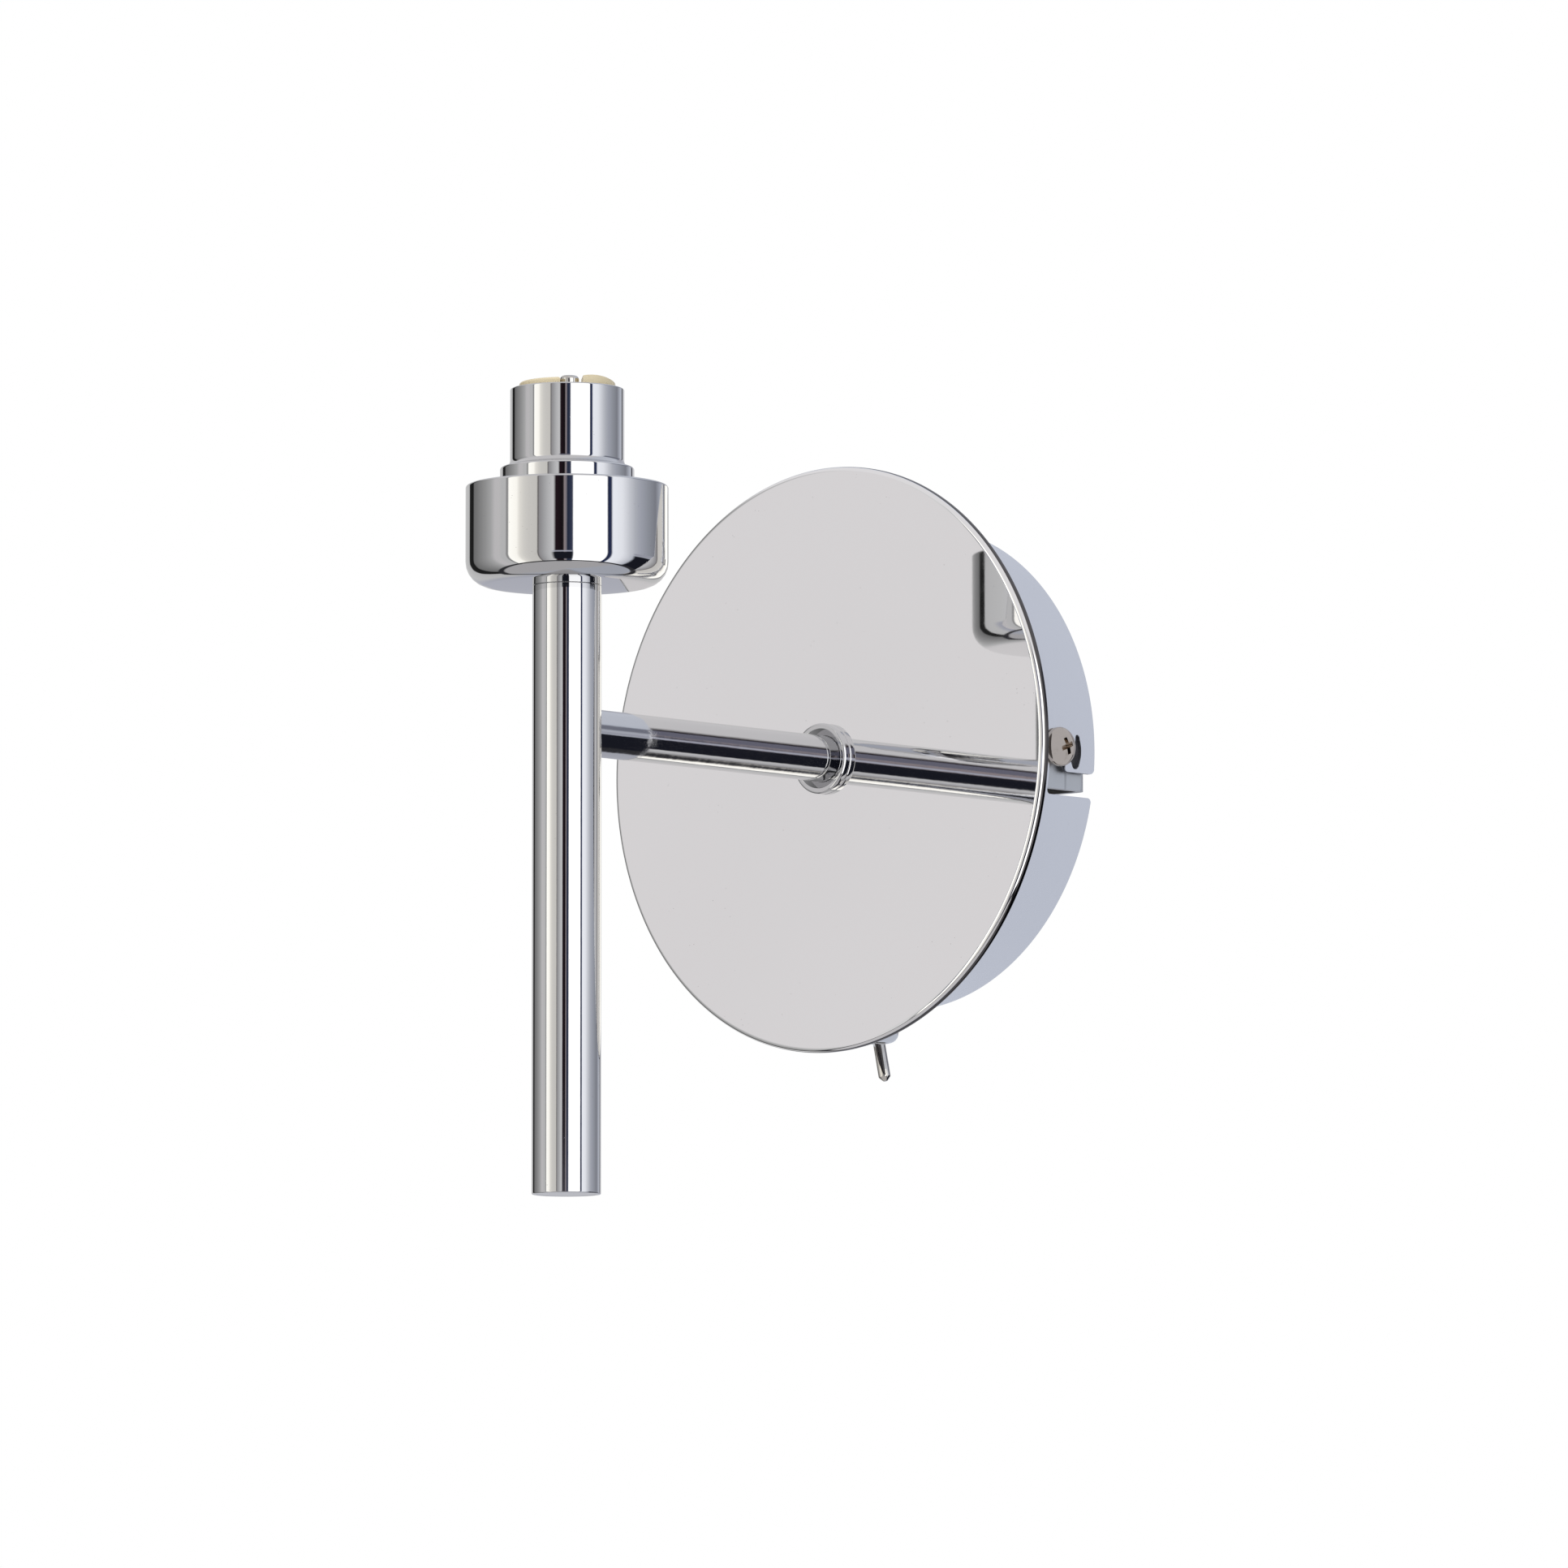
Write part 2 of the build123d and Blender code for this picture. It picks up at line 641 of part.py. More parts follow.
def earth_lead():
    points = [(0, pole_y, 27), (0, pole_y, 17), (earth_x, earth_lead_y, 5),
              (earth_x, earth_lead_y, earth_end_z)]
    return lead(points, bend_radii(points))


def arm_lead(side):
    # Along the arm, up the post and out to one contact under the ceramic.
    x = side * lead_pair_x
    end_x = side * contact_at * cos(radians(ceramic_turn))
    end_y = post_y + side * contact_at * sin(radians(ceramic_turn))
    points = [(x, lead_split_y, 0), (x, lead_rise_y, 0), (x, lead_rise_y, nipple_high_z),
              (end_x, end_y, 48), (end_x, end_y, 52)]
    shorter_turn = bend_radii(points)[1:]
    return lead(points, [riser_bend] + [min(r, 8.0) for r in shorter_turn])


NODES = {
    "wall_bracket": wall_bracket,
    "canopy_screws": canopy_screws,
    "bracket_earth_screw": bracket_earth_screw,
    "front_disc": front_disc,
    "canopy_cup": canopy_cup,
    "arm_collar": arm_collar,
    "collar_nut": lambda: nut(16, spigot_radius + 0.02, front_wall_y, -21.2, "y"),
    "stop_pin": stop_pin,
    "terminal_block": terminal_block,
    "terminal_sleeves": terminal_sleeves,
    "terminal_screws": terminal_screws,
    "terminal_stud": lambda: rod(1.5, front_wall_y, -8.8, "y", (stud_x, block_z)),
    "terminal_nut": lambda: nut(5.5, 1.52, block_y[1], -9.8, "y", (stud_x, block_z)),
    "earth_stud": lambda: rod(2.0, front_wall_y, -18.5, "y", (earth_x, earth_z)),
    "earth_nut": lambda: nut(7, 2.02, front_wall_y + 0.8, -20.2, "y", (earth_x, earth_z)),
    "earth_tag": earth_tag,
    "feed_lead": feed_lead,
    "switched_lead": switched_lead,
    "neutral_lead": neutral_lead,
    "earth_lead": earth_lead,
    "toggle_body": toggle_body,
    "toggle_frame": toggle_frame,
    "toggle_bushing": toggle_bushing,
    "toggle_inner_nut": lambda: nut(8, 3.02, -48.7, -47.1, "z", toggle_at),
    "toggle_lock_washer": lambda: pipe(4.2, 3.05, -47.1, -46.5, "z", toggle_at),
    "toggle_dress_nut": toggle_dress_nut,
    "toggle_terminals": toggle_terminals,
    "lug_sleeves": lug_sleeves,
    "toggle_lever": toggle_lever,
    "toggle_plunger": toggle_plunger,
    "toggle_rocker": toggle_rocker,
    "arm_tube": arm_tube,
    "arm_spindle": arm_spindle,
    "spindle_bush": spindle_bush,
    "friction_washer": lambda: pipe(7.0, spindle_radius + 0.05, *washer_y["friction"], "y"),
    "stop_washer": stop_washer,
    "spring_washer": spring_washer,
    "swivel_locknut": lambda: nut(12, spindle_radius + 0.02, *locknut_y, "y"),
    "tee_nipple": tee_nipple,
    "tee_block": tee_block,
    "post_tube": post_tube,
    "post_plug": post_plug,
    "post_insert": post_insert,
    "head_nipple": head_nipple,
    "head_cup": head_cup,
    "head_nut": lambda: nut(14, nipple_radius + 0.02, cup_floor_z, head_nut_z, "z", post_at),
    "socket_housing": socket_housing,
    "socket_base": socket_base,
    "socket_bridge": socket_bridge,
    "socket_nut": lambda: nut(13, nipple_radius + 0.02, bridge_top_z, socket_nut_z, "z", post_at),
    "ceramic_insert": ceramic_insert,
    "ceramic_screws": ceramic_screws,
    "socket_contacts": socket_contacts,
    "arm_live_lead": lambda: arm_lead(-1),
    "arm_neutral_lead": lambda: arm_lead(1),
}

os.makedirs("parts", exist_ok=True)
for node_name, make in NODES.items():
    write(node_name, make())
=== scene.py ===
import json
import bmesh
import bpy
from math import cos, pi, radians, sin
from mathutils import Matrix, Vector


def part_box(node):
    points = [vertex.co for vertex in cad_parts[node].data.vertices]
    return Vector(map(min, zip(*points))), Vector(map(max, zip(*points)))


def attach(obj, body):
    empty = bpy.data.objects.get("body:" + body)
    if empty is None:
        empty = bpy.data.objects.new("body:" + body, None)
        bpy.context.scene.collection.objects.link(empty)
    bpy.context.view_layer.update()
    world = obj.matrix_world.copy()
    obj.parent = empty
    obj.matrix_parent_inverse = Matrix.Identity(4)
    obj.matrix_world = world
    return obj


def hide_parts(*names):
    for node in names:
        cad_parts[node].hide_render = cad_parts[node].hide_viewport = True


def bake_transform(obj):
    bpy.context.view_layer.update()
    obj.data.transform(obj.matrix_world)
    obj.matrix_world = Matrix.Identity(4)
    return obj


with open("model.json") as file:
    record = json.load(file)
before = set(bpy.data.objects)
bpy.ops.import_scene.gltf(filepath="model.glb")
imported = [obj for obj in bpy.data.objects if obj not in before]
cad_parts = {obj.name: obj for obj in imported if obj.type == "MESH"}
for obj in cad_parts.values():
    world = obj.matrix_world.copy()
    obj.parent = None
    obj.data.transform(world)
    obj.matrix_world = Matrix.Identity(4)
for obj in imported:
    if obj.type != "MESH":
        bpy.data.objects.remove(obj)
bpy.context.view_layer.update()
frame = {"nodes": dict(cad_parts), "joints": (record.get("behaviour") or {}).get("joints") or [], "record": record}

mm = 0.001
nodes = frame["nodes"]


def span(node, axis):                        # a node's lowest and highest place along one axis
    low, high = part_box(node)
    i = "xyz".index(axis)
    return low[i], high[i]


def middle(node, axis):
    low, high = span(node, axis)
    return (low + high) / 2


def radiusOf(node, axis):
    low, high = span(node, axis)
    return (high - low) / 2


postAt = Vector((middle("post_tube", "x"), middle("post_tube", "y"), 0))
toggleAt = Vector((0, middle("toggle_dress_nut", "y"), 0))


class Socket:                                # a node's output, used like a number
    def __init__(self, tree, out=None):
        self.tree = tree
        self.out = out

    def add(self, kind, settings=None, values=None, out=0):
        made = self.tree.nodes.new(kind)
        for name, value in (settings or {}).items():
            if name == "stops":              # a colour ramp's places and colours
                ramp = made.color_ramp
                while len(ramp.elements) < len(value):
                    ramp.elements.new(1.0)
                for element, (place, colour) in zip(ramp.elements, value):
                    element.position = place
                    element.color = (*colour, 1.0) if len(colour) == 3 else colour
            else:
                setattr(made, name, value)
        for name, value in (values or {}).items():
            if isinstance(value, Socket):
                self.tree.links.new(value.out, made.inputs[name])
            else:
                made.inputs[name].default_value = value
        return Socket(self.tree, made.outputs[out] if made.outputs else None)

    def maths(self, operation, first, second=0.0):
        return self.add("ShaderNodeMath", {"operation": operation}, {0: first, 1: second})

    def __add__(self, other):
        return self.maths("ADD", self, other)

    def __radd__(self, other):
        return self.maths("ADD", other, self)

    def __sub__(self, other):
        return self.maths("SUBTRACT", self, other)

    def __rsub__(self, other):
        return self.maths("SUBTRACT", other, self)

    def __mul__(self, other):
        return self.maths("MULTIPLY", self, other)

    def __rmul__(self, other):
        return self.maths("MULTIPLY", other, self)

    def __truediv__(self, other):
        return self.maths("DIVIDE", self, other)

    def __gt__(self, other):
        return self.maths("GREATER_THAN", self, other)

    def step(self, low, high):               # 0 below low, 1 above high, smooth between
        return self.add("ShaderNodeMapRange", {"interpolation_type": "SMOOTHSTEP"},
                        {"Value": self, "From Min": low, "From Max": high})

    def band(self, low, high, soft):         # 1 between low and high, 0 outside
        return self.step(low - soft, low + soft) * (1 - self.step(high - soft, high + soft))

    def mixColour(self, first, second):      # this socket is the factor
        colours = {6: first, 7: second}
        return self.add("ShaderNodeMix", {"data_type": "RGBA"}, {0: self, **colours}, out=2)

    def place(self, scale=(1, 1, 1), turn=(0, 0, 0)):
        return self.add("ShaderNodeMapping", {"vector_type": "POINT"},
                        {"Vector": self, "Scale": scale, "Rotation": turn})

    def noise(self, scale, detail=3.0, rough=0.5):
        return self.add("ShaderNodeTexNoise", {}, {"Vector": self, "Scale": scale,
                        "Detail": detail, "Roughness": rough})

    def speckle(self, scale):                # distance to the nearest cell's middle
        return self.add("ShaderNodeTexVoronoi", {}, {"Vector": self, "Scale": scale})


def rgb(r, g, b):
    return (r, g, b, 1.0)


def newFinish(name):
    material = bpy.data.materials.new(name)
    material.use_nodes = True
    material.node_tree.nodes.clear()
    paint = Socket(material.node_tree)
    where = paint.add("ShaderNodeTexCoord", out=3)      # Object coordinates, in metres
    return material, paint, where


def closeFinish(material, paint, values):
    shader = paint.add("ShaderNodeBsdfPrincipled", {}, values)
    paint.add("ShaderNodeOutputMaterial", {}, {"Surface": shader})
    return material


def bump(paint, height, depth):
    return paint.add("ShaderNodeBump", {}, {"Height": height, "Distance": depth, "Strength": 1.0})


def chromePlate(name, shade):
    # Bright chrome: near mirror, faint waves in the plate, polish lines, smears and a few pits.
    material, paint, where = newFinish(name)
    waves = where.noise(shade["waveScale"], 2.0)
    grain = where.place(scale=shade["grainStretch"]).noise(shade["grainScale"], 4.0, 0.7)
    smear = where.noise(38.0, 5.0, 0.6).step(0.52, 0.74)
    pits = 1 - where.speckle(900.0).step(0.02, 0.09)
    rarePits = pits * where.noise(160.0, 1.0).step(0.60, 0.66)
    haze = where.noise(14.0, 3.0).step(0.35, 0.75)
    colour = haze.mixColour(rgb(*shade["bright"]), rgb(*shade["dull"]))
    colour = rarePits.mixColour(colour, rgb(0.28, 0.26, 0.24))
    if "paintedRimShade" in shade:                      # painted shade: past a set depth along the rim the plate's colour is darkened
        depth = where.add("ShaderNodeSeparateXYZ", {}, {"Vector": where}, out=1)
        colour = depth.step(*shade["paintedRimShade"]).mixColour(colour, rgb(0.13, 0.12, 0.115))
    rough = shade["rough"] + smear * shade["smear"] + rarePits * 0.3
    if "inside" in shade:                    # bare steel on the inside and on the cut edges, darkened also as painted shade where the slots' walls lie in shadow
        across = where.add("ShaderNodeVectorMath", {"operation": "MULTIPLY"},
                           {0: where, 1: (1, 0, 1)})
        radius = across.add("ShaderNodeVectorMath", {"operation": "LENGTH"}, {0: across}, out=1)
        depth = where.add("ShaderNodeSeparateXYZ", {}, {"Vector": where}, out=1)
        bareAndShade = (1 - radius.step(*shade["inside"])) * depth.step(*shade["insideFrom"])
        colour = bareAndShade.mixColour(colour, rgb(0.16, 0.16, 0.175))
        rough = rough + bareAndShade * 0.3
    height = waves * shade["wave"] + grain * shade["grain"] - rarePits * 0.004
    return closeFinish(material, paint, {
        "Base Color": colour, "Metallic": 1.0, "Roughness": rough,
        "Normal": bump(paint, height, mm)})


plainShade = {"bright": (0.72, 0.72, 0.725), "dull": (0.69, 0.69, 0.70), "rough": 0.025,
              "smear": 0.03, "waveScale": 110.0, "wave": 0.002, "grainScale": 900.0,
              "grain": 0.0006, "grainStretch": (1, 1, 1)}


def steelZinc(name):
    # Zinc plated sheet: crystalline spangle, rolling lines, scuffs and a slight yellow pass.
    material, paint, where = newFinish(name)
    spangle = where.speckle(420.0)
    lines = where.place(scale=(0.15, 1, 1)).noise(2600.0, 3.0)
    scuffs = where.place(scale=(1, 1, 0.1), turn=(0.3, 0.2, 0.6)).noise(700.0, 4.0).step(0.62, 0.7)
    tint = where.noise(60.0, 3.0)
    colour = tint.mixColour(rgb(0.56, 0.58, 0.61), rgb(0.60, 0.59, 0.56))
    colour = (scuffs * 0.5).mixColour(colour, rgb(0.36, 0.36, 0.37))
    rough = 0.24 + spangle * 0.14 + scuffs * 0.15 + tint * 0.06
    height = spangle * 0.012 + lines * 0.008 - scuffs * 0.006
    return closeFinish(material, paint, {
        "Base Color": colour, "Metallic": 1.0, "Roughness": rough,
        "Normal": bump(paint, height, mm)})


def brassTurned(name):
    material, paint, where = newFinish(name)
    rings = where.place(scale=(1, 1, 6)).noise(1500.0, 2.0)
    tarnish = where.noise(180.0, 4.0).step(0.45, 0.75)
    colour = tarnish.mixColour(rgb(0.80, 0.60, 0.26), rgb(0.46, 0.32, 0.15))
    rough = 0.2 + tarnish * 0.22 + rings * 0.08
    return closeFinish(material, paint, {
        "Base Color": colour, "Metallic": 1.0, "Roughness": rough,
        "Normal": bump(paint, rings * 0.01, mm)})


def nickelPlate(name, warm):
    # A softer, warmer plate than chrome, with draw marks and rubbed spots.
    material, paint, where = newFinish(name)
    marks = where.place(scale=(1, 1, 5)).noise(1400.0, 3.0)
    rub = where.noise(420.0, 4.0).step(0.5, 0.72)
    colour = rub.mixColour(rgb(*warm), rgb(warm[0] * 0.8, warm[1] * 0.78, warm[2] * 0.76))
    rough = 0.05 + rub * 0.06 + marks * 0.03
    return closeFinish(material, paint, {
        "Base Color": colour, "Metallic": 1.0, "Roughness": rough,
        "Normal": bump(paint, marks * 0.0012 + rub * 0.001, mm)})


def steatite(name):
    # Unglazed pressed ceramic: cream body, darker grains, fine pores and handling stains.
    material, paint, where = newFinish(name)
    grains = 1 - where.speckle(1500.0).step(0.1, 0.34)
    mottling = where.noise(160.0, 3.0, 0.5)
    stain = where.noise(90.0, 3.0).step(0.5, 0.78)
    pores = 1 - where.speckle(2600.0).step(0.06, 0.16)
    colour = mottling.mixColour(rgb(0.80, 0.69, 0.45), rgb(0.84, 0.74, 0.51))
    colour = (grains * 0.04).mixColour(colour, rgb(0.50, 0.38, 0.22))
    colour = (stain * 0.12).mixColour(colour, rgb(0.58, 0.44, 0.25))
    rough = 0.34 + mottling * 0.12 + pores * 0.08
    height = mottling * 0.002 - pores * 0.0012
    return closeFinish(material, paint, {
        "Base Color": colour, "Roughness": rough, "Coat Weight": 0.12,
        "Normal": bump(paint, height, mm)})


def mouldedPlastic(name, shade):
    # Injection moulding: spark-eroded texture, slight sink waves and rubbed patches.
    material, paint, where = newFinish(name)
    texture = where.noise(shade["grain"], 3.0, 0.7)
    waves = where.noise(120.0, 2.0)
    rub = where.noise(70.0, 4.0).step(0.5, 0.75)
    colour = rub.mixColour(rgb(*shade["colour"]), rgb(*shade["worn"]))
    rough = shade["rough"] + rub * 0.12 - texture * 0.05
    return closeFinish(material, paint, {
        "Base Color": colour, "Roughness": rough,
        "Normal": bump(paint, texture * 0.015 + waves * 0.03, mm)})


def wireSkin(name, shade):
    # Extruded insulation: fine die lines, dust and, on the earth wire, a second colour.
    material, paint, where = newFinish(name)
    skin = where.noise(1300.0, 3.0)
    dust = where.noise(240.0, 4.0).step(0.5, 0.8)
    colour = (dust * 0.3).mixColour(rgb(*shade["colour"]), rgb(*shade["dusty"]))
    if "stripe" in shade:
        slant = where.add("ShaderNodeTexWave", {"bands_direction": "DIAGONAL"},
                          {"Vector": where, "Scale": 60.0, "Distortion": 0.6})
        colour = slant.step(0.45, 0.55).mixColour(colour, rgb(*shade["stripe"]))
    rough = 0.38 + dust * 0.2
    return closeFinish(material, paint, {
        "Base Color": colour, "Roughness": rough, "Coat Weight": 0.1,
        "Normal": bump(paint, skin * 0.01, mm)})


def paintNodes():
    looks = {
        "chrome_polish": chromePlate("chromePolish", plainShade),
        "chrome_canopy": chromePlate("chromeCanopy", {**plainShade, "rough": 0.05}),
        "nickel": nickelPlate("nickelPlate", (0.70, 0.68, 0.64)),
        "zinc_steel": steelZinc("zincSteel"),
        "brass": brassTurned("turnedBrass"),
        "ceramic": steatite("creamSteatite"),
        "switch_case": mouldedPlastic("switchCase", {
            "colour": (0.02, 0.02, 0.022), "worn": (0.05, 0.05, 0.052), "rough": 0.42,
            "grain": 2200.0}),
        "white_nylon": mouldedPlastic("whiteNylon", {
            "colour": (0.80, 0.79, 0.75), "worn": (0.70, 0.68, 0.62), "rough": 0.4,
            "grain": 1800.0}),
        "brown_lead": wireSkin("brownWire", {
            "colour": (0.16, 0.065, 0.03), "dusty": (0.3, 0.22, 0.18)}),
        "blue_lead": wireSkin("blueWire", {
            "colour": (0.03, 0.13, 0.45), "dusty": (0.2, 0.28, 0.45)}),
        "earth_lead": wireSkin("earthWire", {
            "colour": (0.06, 0.33, 0.07), "dusty": (0.25, 0.4, 0.22),
            "stripe": (0.75, 0.66, 0.05)}),
        "sleeving": mouldedPlastic("blackSleeving", {
            "colour": (0.02, 0.02, 0.02), "worn": (0.05, 0.05, 0.05), "rough": 0.55,
            "grain": 1500.0}),
    }
    for part in frame["record"]["subparts"]:
        mesh = nodes[part["node"]].data
        mesh.materials.clear()
        mesh.materials.append(looks[part["material_slot"]])
    return looks


looks = paintNodes()
print("finishes ready")


def turn(steel, profile, steps, closed=True):
    # profile: (radius, height, edge rounding). It is spun round z, then its edges are rounded.
    verts = [steel.verts.new((r, 0, h)) for r, h, _ in profile]
    edges = [steel.edges.new(pair) for pair in zip(verts, verts[1:])]
    if closed:
        edges.append(steel.edges.new((verts[-1], verts[0])))
    bmesh.ops.spin(steel, geom=verts + edges, cent=(0, 0, 0), axis=(0, 0, 1),
                   angle=2 * pi, steps=steps, use_merge=True)
    bmesh.ops.remove_doubles(steel, verts=steel.verts, dist=1e-7)
    bmesh.ops.dissolve_degenerate(steel, dist=1e-7, edges=steel.edges)
    bmesh.ops.recalc_face_normals(steel, faces=steel.faces)
    for r, h, size in profile:
        if size <= 0:
            continue
        ring = [e for e in steel.edges
                if all(abs(v.co.z - h) < 1e-7 and abs(v.co.xy.length - r) < 2e-6
                       for v in e.verts)]
        bmesh.ops.bevel(steel, geom=ring, offset=size, offset_type="OFFSET", segments=6,
                        profile=0.5, affect="EDGES", material=-1)


axisTurns = {"z": Matrix.Identity(4), "y": Matrix.Rotation(radians(90), 4, "X"),
             "x": Matrix.Rotation(radians(90), 4, "Y")}       # z goes to -y, and to x


def pieceFrom(steel, name, finish, crease=32):
    mesh = bpy.data.meshes.new(name)
    steel.to_mesh(mesh)
    steel.free()
    piece = bpy.data.objects.new(name, mesh)
    bpy.context.scene.collection.objects.link(piece)
    mesh.materials.append(finish)
    mesh.shade_smooth()
    mesh.set_sharp_from_angle(angle=radians(crease))
    return piece


def evenShading(piece):                      # big flat faces keep their own normal
    weighted = piece.modifiers.new("evenShading", "WEIGHTED_NORMAL")
    weighted.keep_sharp = True
    weighted.weight = 100
    return piece


def turned(name, profile, finish, steps=160, axis="z", at=(0, 0, 0)):
    steel = bmesh.new()
    turn(steel, profile, steps)
    bmesh.ops.transform(steel, matrix=Matrix.Translation(at) @ axisTurns[axis],
                        verts=steel.verts)
    return evenShading(pieceFrom(steel, name, finish))


def settle(piece, body, node):
    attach(piece, body)
    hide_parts(node)
    return piece


def applyModifiers(piece):
    bpy.context.view_layer.update()
    graph = bpy.context.evaluated_depsgraph_get()
    mesh = bpy.data.meshes.new_from_object(piece.evaluated_get(graph))
    piece.modifiers.clear()
    piece.data = mesh
    return piece


def carve(piece, cutters):                   # takes each cutter out of the piece
    for cutter in cutters:
        cut = piece.modifiers.new("cut", "BOOLEAN")
        cut.operation = "DIFFERENCE"
        cut.solver = "EXACT"
        cut.object = cutter
        applyModifiers(piece)
        bpy.data.objects.remove(cutter)


def frontDisc():
    size = {"frontEdge": 1.2 * mm, "backEdge": 0.4 * mm, "hole": 6.05 * mm,
            "paintedRimShadeFrom": 0.62 * mm, "paintedRimShadeTo": 0.72 * mm}
    low, high = span("front_disc", "y")
    rim = radiusOf("front_disc", "x")
    profile = [(size["hole"], -low, 0), (rim, -low, size["frontEdge"]),
               (rim, -high, size["backEdge"]), (size["hole"], -high, 0)]
    # The disc's rim is darkened in colour past a set depth: painted shade.
    finish = chromePlate("discMirror", {
        **plainShade, "bright": (1.0, 0.995, 0.998), "dull": (0.985, 0.98, 0.983),
        "rough": 0.02, "wave": 0.0006, "waveScale": 60.0, "grain": 0.00025,
        "paintedRimShade": (low + size["paintedRimShadeFrom"], low + size["paintedRimShadeTo"])})
    piece = turned("frontDisc", profile, finish, 256, "y")
    return settle(piece, "canopy", "front_disc")


def bayonetCutter(side, wall):
    # The slot's L: a leg round the wall under the screw head, and a mouth open at the rim.
    slot = {"width": 4.8 * mm, "top": 2.4 * mm, "bottom": -9.6 * mm, "flare": 1.2 * mm,
            "tongue": 0.9 * mm, "inner": 1.0 * mm, "beyond": 3 * mm, "sink": 4 * mm}
    screwY = middle("canopy_screws", "y")
    front = screwY - slot["width"] / 2
    back = screwY + slot["width"] / 2
    mouth = slot["bottom"] + slot["width"]
    far = slot["beyond"]
    halfRound = slot["width"] * 0.499        # just under half, so the two ends don't meet
    finger = [(-0.4, 8.8, 0.4), (-1.2, 6.3, 0.5), (2.9, 5.7, 0.4), (2.9, 4.7, 0.4),
              (-0.6, 3.9, 1.5), (-4.0, 4.9, 0.6), (-4.2, 6.4, 0.6), (-2.4, 7.3, 0.5),
              (-2.6, 8.8, 0.4)]
    corners = [(front, slot["top"], halfRound), (back, slot["top"], halfRound)]
    corners += [(-y * mm, z * mm, size * mm) for z, y, size in finger]
    corners += [(back, mouth, slot["tongue"]), (0, mouth, slot["flare"]), (0, mouth + far, 0),
               (far, mouth + far, 0), (far, slot["bottom"] - far, 0), (0, slot["bottom"] - far, 0),
               (0, slot["bottom"], slot["flare"]), (front, slot["bottom"], slot["inner"])]
    steel = bmesh.new()
    verts = [steel.verts.new((wall - slot["sink"], y, z)) for y, z, _ in corners]
    steel.faces.new(verts)
    for vert, (_, _, size) in zip(verts, corners):
        if size > 0:
            bmesh.ops.bevel(steel, geom=[vert], offset=size, offset_type="OFFSET", segments=8,
                            profile=0.5, affect="VERTICES", material=-1)
    swept = bmesh.ops.extrude_face_region(steel, geom=steel.faces[:])
    moved = [v for v in swept["geom"] if isinstance(v, bmesh.types.BMVert)]
    bmesh.ops.translate(steel, vec=(slot["sink"] * 2, 0, 0), verts=moved)
    bmesh.ops.recalc_face_normals(steel, faces=steel.faces)
    if side < 0:
        bmesh.ops.rotate(steel, cent=(0, 0, 0), matrix=Matrix.Rotation(pi, 3, "Y"),
                         verts=steel.verts)
    return pieceFrom(steel, "bayonetCutter", looks["zinc_steel"])


def canopyCup():
    size = {"wall": 0.8 * mm, "corner": 1.2 * mm, "insideCorner": 0.5 * mm, "rim": 0.12 * mm,
            "hole": 6.05 * mm, "toggleHole": 3.05 * mm, "drill": 8 * mm, "slotEdge": 0.16 * mm}
    low, high = span("canopy_cup", "y")
    out = radiusOf("canopy_cup", "z")
    inside = out - size["wall"]
    profile = [(size["hole"], -low, 0), (out, -low, size["corner"]), (out, -high, size["rim"]),
               (inside, -high, size["rim"]), (inside, -low - size["wall"], size["insideCorner"]),
               (size["hole"], -low - size["wall"], 0)]
    # Inside and on the slots' cut edges the plate is dark bare steel: partly real, partly painted shade.
    finish = chromePlate("canopyChrome", {
        **plainShade, "bright": (0.80, 0.80, 0.82), "dull": (0.77, 0.77, 0.79), "rough": 0.24,
        "smear": 0.05, "wave": 0.004, "grain": 0.001,
        "inside": (out - 0.3 * mm, out - 0.15 * mm),
        "insideFrom": (low + 0.7 * mm, low + 0.8 * mm)})
    steel = bmesh.new()
    turn(steel, profile, 240)
    bmesh.ops.transform(steel, matrix=axisTurns["y"], verts=steel.verts)
    piece = pieceFrom(steel, "canopyCup", finish)
    steel = bmesh.new()
    bmesh.ops.create_cone(steel, cap_ends=True, segments=48, radius1=size["toggleHole"],
                          radius2=size["toggleHole"], depth=size["drill"],
                          matrix=Matrix.Translation((0, toggleAt.y, -out)))
    drill = pieceFrom(steel, "toggleDrill", finish)
    carve(piece, [bayonetCutter(1, out), bayonetCutter(-1, out), drill])
    piece.data.set_sharp_from_angle(angle=radians(32))
    edges = piece.modifiers.new("slotEdges", "BEVEL")
    edges.width = size["slotEdge"]
    edges.segments = 2
    edges.limit_method = "ANGLE"
    edges.angle_limit = radians(50)
    evenShading(piece)
    return settle(piece, "canopy", "canopy_cup")


def armCollar():
    size = {"edge": 0.5 * mm, "mouth": 1.35 * mm, "mouthDepth": 1.3 * mm, "lip": 0.12 * mm,
            "spigot": 6.0 * mm, "clearance": 0.05 * mm}
    low, high = span("arm_collar", "y")
    out = radiusOf("arm_collar", "x")
    face = -low
    seat = -span("front_disc", "y")[0]
    bore = radiusOf("arm_tube", "x") + size["clearance"]
    spigot = size["spigot"]
    profile = [(bore + size["mouth"], face, size["lip"]), (out, face, size["edge"]),
               (out, seat + 0.15 * mm, 0.12 * mm), (out - 0.15 * mm, seat, 0), (spigot, seat, 0),
               (spigot, -high, 0.2 * mm), (bore, -high, 0), (bore, face - size["mouthDepth"], 0)]
    finish = chromePlate("collarChrome", {**plainShade, "wave": 0.003})
    piece = turned("armCollar", profile, finish, 128, "y")
    return settle(piece, "canopy", "arm_collar")


print("canopy:", frontDisc().name, canopyCup().name, armCollar().name)


